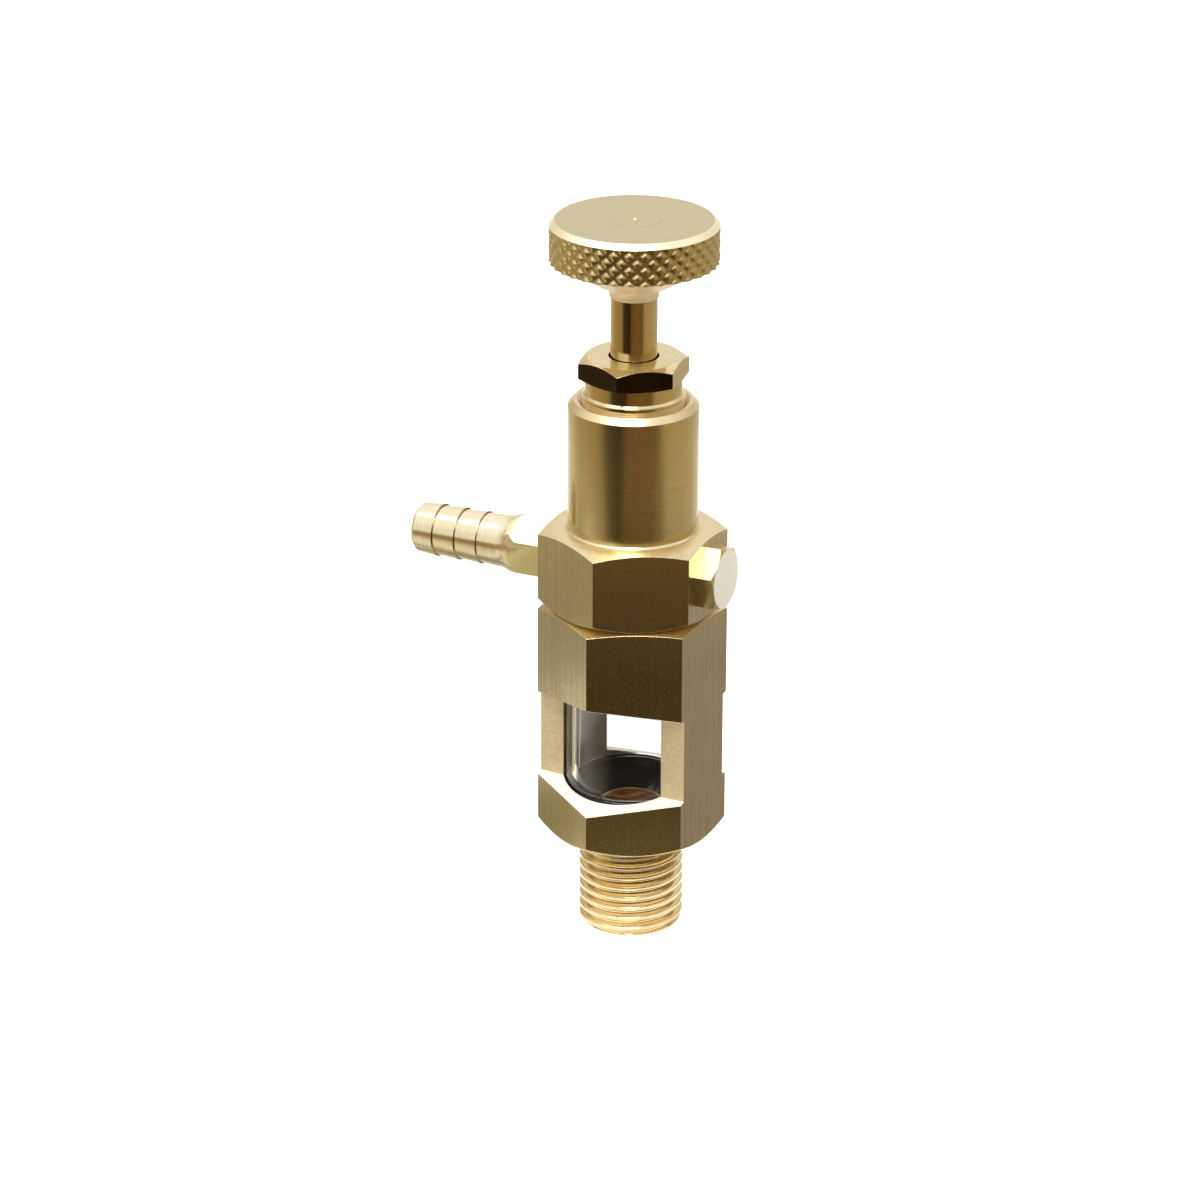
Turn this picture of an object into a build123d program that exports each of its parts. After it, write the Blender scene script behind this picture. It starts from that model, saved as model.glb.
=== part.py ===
from build123d import *
import math
import os

# Sight-feed drip applicator in brass. A needle valve under a knurled knob lets a lubricant
# through in drops, which fall through a glass tube in a windowed hex housing and leave by the
# threaded stub below.
#
# Frame: millimetres, +Z up along the spindle, +X towards the side plug, -X towards the hose
# nipple. The origin is the centre of the stub's lower end face.

# Both bodies are turned and milled from the same hex bar. The housing stands a few degrees
# round from the upper body, where its thread came tight.
bar_flats = 22.0
housing_turn = -4.2
chamfer_inset = 0.5
chamfer_circle = bar_flats - 2 * chamfer_inset

# Outlet stub, M14 x 1.5 on a bar of 22 mm
outlet_shoulder = 4.0
outlet_wall = 3.0
outlet_thread = bar_flats - 2 * outlet_shoulder
outlet_thread_depth = 0.92
outlet_length = 13.3
outlet_bore = outlet_thread - 2 * outlet_wall

# Sight housing
housing_length = 32.75
foot_inset = 1.15
foot_circle = bar_flats - 2 * foot_inset
foot_chamfer = 30.0
head_chamfer = 14.0
seat_height = 4.3
glass_bore_wall = 1.75
glass_bore = bar_flats - 2 * glass_bore_wall
head_wall = 1.0
spigot_thread = bar_flats - 2 * head_wall
spigot_relief = 0.3

# Windows, milled across two opposite corners of the housing
window_land = bar_flats / 4
window_foot = 8.3
window_height = 11.6
window_slope = 15.0

# Glass tube and its gaskets
glass_play = 0.25
glass_diameter = glass_bore - 2 * glass_play
glass_wall = 1.5
gasket_play = 0.15
gasket_outer = glass_bore - 2 * gasket_play
lower_gasket_height = 3.1
lower_gasket_inset = 0.4
lower_gasket_hole = outlet_bore + 2 * lower_gasket_inset
lower_gasket_lip = 0.3
lower_gasket_dish = 1.8
lower_gasket_land = lower_gasket_hole + 2 * lower_gasket_dish
upper_gasket_height = 1.5
upper_gasket_lip = 0.1
upper_gasket_hole = glass_diameter - 2 * (glass_wall + upper_gasket_lip)

# Needle spindle, M8 x 0.75 where it screws into the upper body
stem_diameter = 6.2
spindle_shoulder = 0.9
spindle_thread = stem_diameter + 2 * spindle_shoulder
spindle_thread_length = 7.0
needle_step = 0.7
needle_diameter = stem_diameter - 2 * needle_step
needle_half_angle = 20.0
needle_tip = 1.0
seat_gap = 0.05
peen_width = 0.35
centre_drill = 0.9

# Stack inside the cylinder, sized from the spindle outwards
spring_floor = 1.3
spring_bore = spindle_thread + 2 * spring_floor
spring_length = 5.25
spring_wire = 0.7
spring_coils = 3.0
spring_play = 0.75
spring_diameter = spring_bore - 2 * spring_play - spring_wire
thrust_washer_height = 0.8
thrust_washer_play = 0.2
thrust_washer_diameter = spring_bore - 2 * thrust_washer_play
spring_floor_gap = 1.4
packing_shoulder = 1.0
packing_bore = spring_bore + 2 * packing_shoulder
packing_height = 2.7
packing_washer_height = 0.8
gland_step = 0.7
gland_thread = packing_bore + 2 * gland_step

# Gland nut
nut_inset = 0.5
nut_flats = gland_thread - 2 * nut_inset
nut_turn = 7.2
nut_hex_height = 3.05
nut_standoff = 2.95
nut_neck_inset = 0.05
nut_neck = nut_flats - 2 * nut_neck_inset
nut_neck_flare = 0.3
nut_thread_rise = 0.8
nut_reach = 5.7
nut_nose_play = 0.15
nut_nose = packing_bore - 2 * nut_nose_play
nut_nose_height = 1.3
nut_nose_entry = 0.6
nut_bore_play = 0.25
nut_bore = stem_diameter + 2 * nut_bore_play
nut_chamfer_inset = 0.3
nut_chamfer_circle = nut_flats - 2 * nut_chamfer_inset
nut_chamfer = 30.0
nut_foot_chamfer = 15.0

# Upper body
spigot_length = 7.35
body_hex_length = 11.25
body_top_chamfer = 22.0
body_foot_chamfer = 30.0
cylinder_wall = 1.7
cylinder_diameter = gland_thread + 2 * cylinder_wall
cylinder_length = 18.0
cylinder_foot_flare = 0.25
rim_chamfer_width = 0.77
rim_chamfer_height = 0.85
rim_countersink = 0.5

# Drip nozzle, which holds the valve seat
nozzle_thread = 10.0
nozzle_thread_length = 8.3
nozzle_flats = bar_flats / 2
nozzle_hex_height = 1.8
nozzle_tube = 4.0
nozzle_drop = 6.1
nozzle_tip_chamfer = 0.7
seat_margin = 0.6
seat_mouth = needle_diameter + 2 * seat_margin
orifice = 1.8

# Knob
knob_clearance = 8.2
knob_height = 10.5
knob_diameter = 22.4
knob_rim_height = 5.6
knob_chamfer = 0.77
knob_foot_chamfer = 0.3
hub_land = 0.15
hub_depth = 1.8
hub_round = 1.65
hub_margin = 0.05
hub_diameter = stem_diameter + 2 * (hub_land + hub_round + hub_margin)
cone_inset = 1.4
cone_circle = knob_diameter - 2 * cone_inset

# Diamond knurl on the knob's rim
knurl_count = 34
knurl_rows = 5
knurl_depth = 0.36
knurl_gap = 0.06
knurl_root = 0.15
knurl_sink = 0.01

# Cross bore for the nipple and the plug, M6, a little above the middle of the hex
port_offset = 0.325
port_thread = 6.0
port_wall = 0.6
port_thread_reach = (bar_flats - spindle_thread) / 2 - port_wall
seal_width = 0.7
seal_bore = port_thread + 2 * seal_width
seal_bore_depth = 0.7
seal_play = 0.1
seal_diameter = seal_bore - 2 * seal_play
fitting_shoulder = 1.0
fitting_flats = port_thread + 2 * fitting_shoulder

# Hose nipple
nipple_turn = 23.0
nipple_hex_length = 4.5
nipple_cone_angle = 20.0
tail_inset = 0.35
tail_root = fitting_flats - 2 * tail_inset
neck_depth = 0.25
tail_neck = tail_root - 2 * neck_depth
tail_length = 10.7
barb_inset = 0.05
barb_crest = tail_root - 2 * barb_inset
barb_depth = 0.23
barb_root = barb_crest - 2 * barb_depth
barb_pitch = 3.3
barb_count = 3
tip_chamfer = 0.45
nipple_bore = 3.4

# Plug screw
plug_turn = 16.0
plug_head_height = 2.6
plug_chamfer = 30.0

# Clearances: on the radius of a thread or sliding pair, and between stacked pieces that move
thread_play = 0.05
ring_play = 0.05
stack_gap = 0.05
past = 1.0

# Heights along the spindle's axis
seat_z = outlet_length + seat_height
joint_z = outlet_length + housing_length
spigot_z = joint_z - spigot_length
hex_top_z = joint_z + body_hex_length
port_z = (joint_z + hex_top_z) / 2 + port_offset
rim_z = hex_top_z + cylinder_length
nut_hex_z = rim_z + nut_standoff
nut_top_z = nut_hex_z + nut_hex_height
nut_nose_z = rim_z - nut_reach
gland_floor_z = nut_nose_z + nut_nose_entry
shoulder_z = nut_nose_z - packing_height - packing_washer_height
washer_z = shoulder_z - spring_length - thrust_washer_height
spindle_shoulder_z = washer_z - stack_gap
spring_floor_z = spindle_shoulder_z - spring_floor_gap
valve_z = spigot_z + nozzle_thread_length
hub_z = nut_top_z + knob_clearance
knob_top_z = hub_z + knob_height
rim_foot_z = knob_top_z - knob_rim_height
rim_head_z = knob_top_z - knob_chamfer


def drop(run, degrees):
    """Height that a cone of this slope loses over a run."""
    return run * math.tan(math.radians(degrees))


def turned(*corners, round_at=None, round_by=0.0):
    """Solid of revolution about Z from (radius, height) corners, one of them rounded if asked."""
    outline = make_face(Polyline(*corners, close=True))
    if round_at:
        place = Vector(*round_at, 0)
        nearest = sorted(outline.vertices(), key=lambda v: (Vector(v) - place).length)[0]
        outline = fillet(nearest, round_by)
    return revolve(Plane.XZ * outline, Axis.Z)


def rod(diameter, low, high):
    """Solid cylinder on the Z axis between two heights."""
    bar = Cylinder(diameter / 2, high - low, align=(Align.CENTER, Align.CENTER, Align.MIN))
    return Pos(0, 0, low) * bar


def ring(outer, inner, low, high):
    """Flat ring on the Z axis between two heights."""
    return rod(outer, low, high) - rod(inner, low - past, high + past)


def hex_bar(flats, low, high, foot=None, head=None, turn=0.0):
    """Hex bar with corners on +-Y, its ends turned to a chamfer of (circle, degrees)."""
    reach = flats / math.sqrt(3)
    bar = Pos(0, 0, low) * extrude(RegularPolygon(reach, 6, rotation=30), high - low)
    outline = [(0, low), (0, high)]
    if head:
        circle, degrees = head
        outline.append((circle / 2, high))
        outline.append((reach + past, high - drop(reach + past - circle / 2, degrees)))
    else:
        outline.append((reach + past, high))
    if foot:
        circle, degrees = foot
        outline.append((reach + past, low + drop(reach + past - circle / 2, degrees)))
        outline.append((circle / 2, low))
    else:
        outline.append((reach + past, low))
    return Rot(0, 0, turn) * (bar & turned(*outline))


def towards_x(piece, side):
    """Lay a piece that was made along +Z from a body flat out along +X or -X."""
    return Pos(side * bar_flats / 2, 0, port_z) * Rot(0, side * 90, 0) * piece


def make_sight_housing():
    """Hex housing with its threaded stub, glass bore, top thread and two windows."""
    body = hex_bar(
        bar_flats,
        outlet_length,
        joint_z,
        foot=(foot_circle, foot_chamfer),
        head=(chamfer_circle, head_chamfer),
    )
    stub = turned(
        (0, 0),
        (outlet_thread / 2 - outlet_thread_depth, 0),
        (outlet_thread / 2, outlet_thread_depth),
        (outlet_thread / 2, outlet_length + past),
        (0, outlet_length + past),
    )
    housing = body + stub
    housing -= rod(outlet_bore, -past, seat_z + past)
    housing -= rod(glass_bore, seat_z, joint_z + past)
    housing -= rod(spigot_thread, spigot_z - spigot_relief, joint_z + past)
    for facing in (0, 180):
        housing -= Rot(0, 0, facing) * window_cutter()
    return Rot(0, 0, housing_turn) * housing


def window_cutter():
    """Sweep of the milling cutter across the corner that points to -Y."""
    reach = bar_flats / math.sqrt(3) + past
    flare = drop(reach - window_land, window_slope)
    low = outlet_length + window_foot
    high = low + window_height
    outline = make_face(
        Polyline(
            (-window_land, low),
            (-reach, low - flare),
            (-reach, high + flare),
            (-window_land, high),
            close=True,
        )
    )
    return extrude(Plane.YZ * outline, bar_flats, both=True)


def make_lower_gasket():
    """Thick rubber ring under the glass, its inner edge dished down to the outlet hole."""
    top = seat_z + lower_gasket_height
    return turned(
        (lower_gasket_hole / 2, seat_z),
        (gasket_outer / 2, seat_z),
        (gasket_outer / 2, top),
        (lower_gasket_land / 2, top),
        (lower_gasket_land / 2 - lower_gasket_lip, top - lower_gasket_lip),
        (lower_gasket_hole / 2, seat_z + lower_gasket_lip),
    )


def make_sight_glass():
    """Plain glass tube between the two gaskets."""
    low = seat_z + lower_gasket_height
    high = spigot_z - upper_gasket_height
    return ring(glass_diameter, glass_diameter - 2 * glass_wall, low, high)


def make_upper_gasket():
    """Rubber ring between the glass and the upper body's spigot."""
    return ring(gasket_outer, upper_gasket_hole, spigot_z - upper_gasket_height, spigot_z)


def make_upper_body():
    """Hex body with the spigot below it, the cylinder above it and all its bores."""
    radius = cylinder_diameter / 2
    hexagon = hex_bar(
        bar_flats,
        joint_z,
        hex_top_z,
        foot=(chamfer_circle, body_foot_chamfer),
        head=(chamfer_circle, body_top_chamfer),
    )
    flare = cylinder_foot_flare
    barrel = turned(
        (0, spigot_z),
        (spigot_thread / 2 - thread_play, spigot_z),
        (spigot_thread / 2 - thread_play, joint_z + past),
        (radius + past, joint_z + past),
        (radius + past, hex_top_z),
        (radius + flare, hex_top_z),
        (radius, hex_top_z + flare),
        (radius, rim_z - rim_chamfer_height),
        (radius - rim_chamfer_width, rim_z),
        (0, rim_z),
    )
    thread = gland_thread / 2
    bores = turned(
        (0, spigot_z - past),
        (nozzle_thread / 2, spigot_z - past),
        (nozzle_thread / 2, valve_z),
        (spindle_thread / 2 + thread_play, valve_z),
        (spindle_thread / 2 + thread_play, spring_floor_z),
        (spring_bore / 2, spring_floor_z),
        (spring_bore / 2, shoulder_z),
        (packing_bore / 2, shoulder_z),
        (packing_bore / 2, gland_floor_z),
        (thread, gland_floor_z),
        (thread, rim_z - rim_countersink),
        (thread + rim_countersink + past, rim_z + past),
        (0, rim_z + past),
    )
    body = hexagon + barrel - bores
    cross = Rot(0, 90, 0) * rod(port_thread, -bar_flats, bar_flats)
    body -= Pos(0, 0, port_z) * cross
    for side in (1, -1):
        body -= towards_x(rod(seal_bore, -seal_bore_depth, past), side)
    return body


def make_drip_nozzle():
    """Valve seat and drip tube, screwed up into the spigot against its shoulder."""
    tip_z = spigot_z - nozzle_drop
    thread = nozzle_thread / 2 - thread_play
    tube = nozzle_tube / 2
    shape = turned(
        (0, tip_z),
        (tube - nozzle_tip_chamfer, tip_z),
        (tube, tip_z + nozzle_tip_chamfer),
        (tube, spigot_z - past),
        (thread, spigot_z - past),
        (thread, valve_z),
        (0, valve_z),
    )
    shape += hex_bar(nozzle_flats, spigot_z - nozzle_hex_height, spigot_z)
    seat_depth = (seat_mouth - orifice) / 2 / math.tan(math.radians(needle_half_angle))
    passage = turned(
        (0, tip_z - past),
        (orifice / 2, tip_z - past),
        (orifice / 2, valve_z - seat_depth),
        (seat_mouth / 2, valve_z),
        (seat_mouth / 2, valve_z + past),
        (0, valve_z + past),
    )
    return shape - passage


def make_needle_spindle():
    """Stem, thread and needle in one, closed to within the seat gap at rest."""
    slope = math.tan(math.radians(needle_half_angle))
    lift = seat_gap / math.sin(math.radians(needle_half_angle))
    shank_z = valve_z - (seat_mouth - needle_diameter) / 2 / slope + lift
    tip_z = valve_z - (seat_mouth - needle_tip) / 2 / slope + lift
    thread_z = spindle_shoulder_z - spindle_thread_length
    stem = stem_diameter / 2
    drill = centre_drill / 2
    return turned(
        (0, tip_z),
        (needle_tip / 2, tip_z),
        (needle_diameter / 2, shank_z),
        (needle_diameter / 2, thread_z),
        (spindle_thread / 2, thread_z),
        (spindle_thread / 2, spindle_shoulder_z),
        (stem, spindle_shoulder_z),
        (stem, knob_top_z - peen_width),
        (stem + peen_width, knob_top_z),
        (drill, knob_top_z),
        (0, knob_top_z - drill),
    )


def make_thrust_washer():
    """Washer that stands on the spindle's shoulder and rises with it."""
    hole = stem_diameter + 2 * ring_play
    return ring(thrust_washer_diameter, hole, washer_z, washer_z + thrust_washer_height)


def make_spindle_spring():
    """Open-coil spring of square wire between the thrust washer and the packing washer."""
    low = washer_z + thrust_washer_height + spring_wire / 2
    high = shoulder_z - spring_wire / 2
    path = Helix(
        pitch=(high - low) / spring_coils,
        height=high - low,
        radius=spring_diameter / 2,
        center=(0, 0, low),
    )
    start = Plane(origin=path @ 0, x_dir=(1, 0, 0), z_dir=path % 0)
    return sweep(start * Rectangle(spring_wire, spring_wire), path, is_frenet=True)


def make_packing_washer():
    """Washer on the body's shoulder, under the packing."""
    hole = stem_diameter + 4 * ring_play
    top = shoulder_z + packing_washer_height
    return ring(packing_bore - 2 * ring_play, hole, shoulder_z, top)


def make_gland_packing():
    """Soft ring between the packing washer and the gland nut's nose."""
    low = shoulder_z + packing_washer_height
    return ring(packing_bore - 2 * ring_play, stem_diameter + 2 * ring_play, low, nut_nose_z)


def make_gland_nut():
    """Hex nut with a turned neck, an outside thread and a nose that presses the packing."""
    neck = nut_neck / 2
    thread = gland_thread / 2 - thread_play
    nose_top = nut_nose_z + nut_nose_height
    neck_foot = rim_z + nut_thread_rise
    shape = turned(
        (0, nut_nose_z),
        (nut_nose / 2, nut_nose_z),
        (nut_nose / 2, nose_top),
        (thread, nose_top),
        (thread, neck_foot),
        (neck + nut_neck_flare, neck_foot),
        (neck, neck_foot + nut_neck_flare),
        (neck, nut_hex_z + nut_hex_height / 2),
        (0, nut_hex_z + nut_hex_height / 2),
    )
    shape += hex_bar(
        nut_flats,
        nut_hex_z,
        nut_top_z,
        foot=(nut_neck, nut_foot_chamfer),
        head=(nut_chamfer_circle, nut_chamfer),
        turn=nut_turn,
    )
    return shape - rod(nut_bore, nut_nose_z - past, nut_top_z + past)


def make_knurled_knob():
    """Disc knob with a coned underside, a hub round the stem and a diamond-knurled rim."""
    radius = knob_diameter / 2
    stem = stem_diameter / 2
    core = radius - knurl_depth
    root = core - knurl_root
    disc = turned(
        (stem, hub_z),
        (stem + hub_land, hub_z),
        (stem + hub_land, hub_z + hub_depth),
        (hub_diameter / 2, hub_z + hub_depth),
        (cone_circle / 2, rim_foot_z - knob_foot_chamfer),
        (root, rim_foot_z),
        (root, rim_head_z),
        (radius, rim_head_z),
        (radius - knob_chamfer, knob_top_z),
        (stem + peen_width, knob_top_z),
        (stem, knob_top_z - peen_width),
        round_at=(stem + hub_land, hub_z + hub_depth),
        round_by=hub_round,
    )
    prism = extrude(RegularPolygon(core, 2 * knurl_count), rim_head_z - rim_foot_z)
    return disc.fuse(Pos(0, 0, rim_foot_z) * prism, *knurl_diamonds(core, radius))


def knurl_diamonds(core, crest):
    """Staggered rows of low pyramids round the many-sided core, cut off where the rim ends."""
    row_pitch = (rim_head_z - rim_foot_z) / knurl_rows
    half_width = math.pi * core / knurl_count - knurl_gap
    half_height = row_pitch - knurl_gap
    base = math.sqrt(core**2 - half_width**2) - knurl_sink
    seat = Plane(origin=(base, 0, 0), x_dir=(0, 1, 0), z_dir=(1, 0, 0))
    foot = seat * make_face(
        Polyline(
            (half_width, 0),
            (0, half_height),
            (-half_width, 0),
            (0, -half_height),
            close=True,
        )
    )
    pyramid = loft([foot, Vertex(crest, 0, 0)], ruled=True) + extrude(foot, -knurl_root)
    band = ring(2 * (crest + past), 2 * (core - knurl_root - past), rim_foot_z, rim_head_z)
    diamonds = []
    for row in range(knurl_rows):
        height = rim_head_z - (row + 0.5) * row_pitch
        tooth = (Pos(0, 0, height) * pyramid) & band
        stagger = 0.5 * (row % 2)
        for step in range(knurl_count):
            turn = 360 * (step + stagger) / knurl_count
            diamonds.append(Rot(0, 0, turn) * tooth)
    return diamonds


def make_inlet_nipple():
    """Hose nipple on the cross bore, with a hex, a coned shoulder and a barbed tail."""
    corner = fitting_flats / math.sqrt(3)
    root = tail_root / 2
    cone = (corner - root) / math.tan(math.radians(nipple_cone_angle))
    shoulder = nipple_hex_length + cone
    crest = barb_crest / 2
    valley = barb_root / 2
    tip = tail_length + barb_count * barb_pitch
    thread = port_thread / 2 - thread_play
    outline = [
        (0, -port_thread_reach),
        (thread, -port_thread_reach),
        (thread, past),
        (root, past),
        (root, shoulder),
        (tail_neck / 2, tail_length),
    ]
    for barb in range(barb_count):
        start = tail_length + barb * barb_pitch
        outline.append((crest, start))
        outline.append((valley, start + barb_pitch))
    outline[-1] = (valley, tip - tip_chamfer)
    outline.append((valley - tip_chamfer, tip))
    outline.append((0, tip))
    piece = turned(*outline)
    slope = 90 - nipple_cone_angle
    piece += hex_bar(fitting_flats, 0, shoulder, head=(tail_root, slope), turn=nipple_turn)
    piece -= rod(nipple_bore, -port_thread_reach - past, tip + past)
    return towards_x(piece, -1)


def make_side_plug():
    """Hex-head screw that closes the other end of the cross bore."""
    screw = rod(port_thread - 2 * thread_play, -port_thread_reach, past)
    screw += hex_bar(
        fitting_flats,
        0,
        plug_head_height,
        head=(fitting_flats, plug_chamfer),
        turn=-plug_turn,
    )
    return towards_x(screw, 1)


def make_port_seal(side):
    """Flat sealing ring that fills the counterbore under the nipple's hex or the plug's head."""
    return towards_x(ring(seal_diameter, port_thread, -seal_bore_depth, 0), side)


def make_nipple_seal():
    """Sealing ring under the nipple."""
    return make_port_seal(-1)


def make_plug_seal():
    """Sealing ring under the plug."""
    return make_port_seal(1)


makers = {
    "sight_housing": make_sight_housing,
    "lower_gasket": make_lower_gasket,
    "sight_glass": make_sight_glass,
    "upper_gasket": make_upper_gasket,
    "upper_body": make_upper_body,
    "drip_nozzle": make_drip_nozzle,
    "needle_spindle": make_needle_spindle,
    "thrust_washer": make_thrust_washer,
    "spindle_spring": make_spindle_spring,
    "packing_washer": make_packing_washer,
    "gland_packing": make_gland_packing,
    "gland_nut": make_gland_nut,
    "knurled_knob": make_knurled_knob,
    "inlet_nipple": make_inlet_nipple,
    "nipple_seal": make_nipple_seal,
    "side_plug": make_side_plug,
    "plug_seal": make_plug_seal,
}

os.makedirs("parts", exist_ok=True)
for name, make in makers.items():
    export_step(make(), f"parts/{name}.step")
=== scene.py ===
# %% [markdown]
# # A brass drip applicator, dressed in Blender
# The imported model gives every piece its size and place. This notebook gives the pieces what a
# photograph shows and plain solids lack: eased edges, a cut thread, a diamond knurl, and brass
# that is drawn, turned, milled or polished depending on how each face was made.
#
# The model is loaded first, and a small helper reads the box of any of its pieces. The finished
# look has to stay inside it.

# %% Load the model and read the boxes of its pieces
import math

import bmesh
import bpy
from mathutils import Matrix, Vector


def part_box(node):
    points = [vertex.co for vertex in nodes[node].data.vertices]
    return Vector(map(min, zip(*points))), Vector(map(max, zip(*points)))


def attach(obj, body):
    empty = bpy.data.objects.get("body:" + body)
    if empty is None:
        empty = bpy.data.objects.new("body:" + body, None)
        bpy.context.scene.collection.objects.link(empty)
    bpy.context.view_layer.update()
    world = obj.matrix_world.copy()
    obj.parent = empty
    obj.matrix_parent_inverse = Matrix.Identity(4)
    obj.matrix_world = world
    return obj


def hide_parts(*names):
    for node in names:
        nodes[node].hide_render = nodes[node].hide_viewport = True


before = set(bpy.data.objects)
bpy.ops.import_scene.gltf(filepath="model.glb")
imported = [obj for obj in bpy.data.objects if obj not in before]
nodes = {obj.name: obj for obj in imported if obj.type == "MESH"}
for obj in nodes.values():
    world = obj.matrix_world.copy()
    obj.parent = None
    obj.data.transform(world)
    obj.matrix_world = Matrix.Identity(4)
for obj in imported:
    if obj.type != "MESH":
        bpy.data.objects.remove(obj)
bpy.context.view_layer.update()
mm = 0.001

# %% [markdown]
# ## Camera
# The camera stands where the photograph was taken from: about two thirds of a metre away, 22
# degrees above the horizon and 25 degrees round to the right of the windows. A long lens keeps
# the perspective as mild as it is in the picture. The small shifts put the object where it
# stands in the frame, and a sixth of a degree of roll levels it.

# %% Place the camera
camera_azimuth = math.radians(24.79)
camera_elevation = math.radians(22.015)
camera_roll = math.radians(0.187)
camera_distance = 685.967 * mm
look_point = Vector((0, 0, 50 * mm))
sensor_width = 36.0
focal_pixels = 5140.121
frame_pixels = 1200.0
shift_right = -4.334 * mm
shift_up = -3.132 * mm

ca, sa = math.cos(camera_azimuth), math.sin(camera_azimuth)
ce, se = math.cos(camera_elevation), math.sin(camera_elevation)
towards_camera = Vector((sa * ce, -ca * ce, se))
picture_right = Vector((ca, sa, 0))
picture_up = Vector((-sa * se, ca * se, ce))

camera_data = bpy.data.cameras.new("camera")
camera_data.sensor_width = sensor_width
camera_data.lens = focal_pixels / frame_pixels * sensor_width
camera_data.clip_start = 0.01
camera_data.clip_end = 20
camera = bpy.data.objects.new("camera", camera_data)
bpy.context.collection.objects.link(camera)
camera_place = look_point + camera_distance * towards_camera
camera_place += shift_right * picture_right + shift_up * picture_up
axes = Matrix((picture_right, picture_up, towards_camera)).transposed()
roll = Matrix.Rotation(camera_roll, 3, "Z")
camera.matrix_world = Matrix.Translation(camera_place) @ (axes @ roll).to_4x4()
bpy.context.scene.camera = camera
bpy.context.scene.view_settings.view_transform = "Standard"
print("lens in mm:", round(camera_data.lens, 1))

# %% [markdown]
# ## Small helpers for node trees
# Shader trees and geometry trees are both wired by hand below. A few short helpers keep that
# readable: they make a node and feed its inputs, do sums that come up often, and end a tree.

# %% Helpers for node trees
def add_node(tree, kind, settings=None, **inputs):
    """Make a node, set its properties, and feed its inputs by name with values or sockets."""
    node = tree.nodes.new(kind)
    for key, value in (settings or {}).items():
        setattr(node, key, value)
    for key, value in inputs.items():
        feed(tree, node.inputs[key.replace("_", " ")], value)
    return node


def feed(tree, socket, value):
    """Link a socket to another one, or give it a plain value."""
    if isinstance(value, bpy.types.NodeSocket):
        tree.links.new(value, socket)
    else:
        socket.default_value = value


def maths(tree, operation, *values):
    """Maths node with its operands in order."""
    node = tree.nodes.new("ShaderNodeMath")
    node.operation = operation
    for place, value in enumerate(values):
        feed(tree, node.inputs[place], value)
    return node.outputs[0]


def ranged(tree, value, low, high, settings=None):
    """Nought where the value is low, one where it is high, level beyond both."""
    node = add_node(tree, "ShaderNodeMapRange", settings, Value=value, From_Min=low, From_Max=high)
    return node.outputs["Result"]


def held(tree, value, low, high):
    """The value kept between two limits."""
    return maths(tree, "MINIMUM", maths(tree, "MAXIMUM", value, low), high)


def off_middle(tree, share):
    """How far a share is from one half."""
    return maths(tree, "ABSOLUTE", maths(tree, "SUBTRACT", share, 0.5))


def distance_out(tree, x, y):
    """Length of the line from the axis to (x, y)."""
    squares = maths(tree, "MULTIPLY", x, x)
    return maths(tree, "SQRT", maths(tree, "MULTIPLY_ADD", y, y, squares))


def empty_tree(owner):
    """Node tree of a material or a world, cleared of its first nodes."""
    owner.use_nodes = True
    owner.node_tree.nodes.clear()
    return owner.node_tree


def end_tree(tree, surface, kind="ShaderNodeOutputMaterial"):
    """Output node that shows a surface."""
    out = tree.nodes.new(kind)
    tree.links.new(surface, out.inputs["Surface"])


def new_socket(tree, name, kind, value=None, output=False):
    """Named socket on the outside of a node group or a geometry tree."""
    way = "OUTPUT" if output else "INPUT"
    socket = tree.interface.new_socket(name=name, in_out=way, socket_type=kind)
    if value is not None:
        socket.default_value = value


# %% [markdown]
# ## Floor, backdrop and light
# The object stands on a plain white floor in a white room. To the camera, to reflections and
# through the glass the floor glows a little, so that it is white, while its own diffuse share
# still takes the object's shadow. One soft light hangs above and a second one stands in front.

# %% Floor, sky and soft light
def glow_rays(tree):
    """One for camera, mirror and glass rays, nought for the rays that light the object."""
    path = tree.nodes.new("ShaderNodeLightPath")
    seen = maths(tree, "ADD", path.outputs["Is Camera Ray"], path.outputs["Is Glossy Ray"])
    seen = maths(tree, "ADD", seen, path.outputs["Is Transmission Ray"])
    return maths(tree, "MINIMUM", seen, 1.0)


def studio_sheet(name, corners, faces, paint):
    """Sheet that belongs to the studio and not to the object."""
    mesh = bpy.data.meshes.new(name)
    mesh.from_pydata(corners, [], faces)
    mesh.materials.append(paint)
    sheet = bpy.data.objects.new(name, mesh)
    bpy.context.collection.objects.link(sheet)
    return sheet


white = (1, 1, 1, 1)
floor_grey = (0.8, 0.8, 0.8, 1)
floor_half = 3.0
floor_glow = 0.55
floor_paint = bpy.data.materials.new("floor white")
tree = empty_tree(floor_paint)
glow = maths(tree, "MULTIPLY", glow_rays(tree), floor_glow)
paper = add_node(tree, "ShaderNodeBsdfDiffuse", Color=floor_grey)
shine = add_node(tree, "ShaderNodeEmission", Color=white, Strength=glow)
both = tree.nodes.new("ShaderNodeAddShader")
tree.links.new(paper.outputs[0], both.inputs[0])
tree.links.new(shine.outputs[0], both.inputs[1])
end_tree(tree, both.outputs[0])
one_sheet = [(0, 1, 2, 3)]
floor_corners = [(x * floor_half, y * floor_half, 0) for x, y in ((-1, -1), (1, -1), (1, 1), (-1, 1))]
studio_sheet("floor", floor_corners, one_sheet, floor_paint)

world = bpy.data.worlds.new("white room")
bpy.context.scene.world = world
tree = empty_tree(world)
room_light = 0.85
strength = maths(tree, "MULTIPLY_ADD", glow_rays(tree), 1 - room_light, room_light)
sky = add_node(tree, "ShaderNodeBackground", Color=white, Strength=strength)
end_tree(tree, sky.outputs[0], "ShaderNodeOutputWorld")


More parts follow.
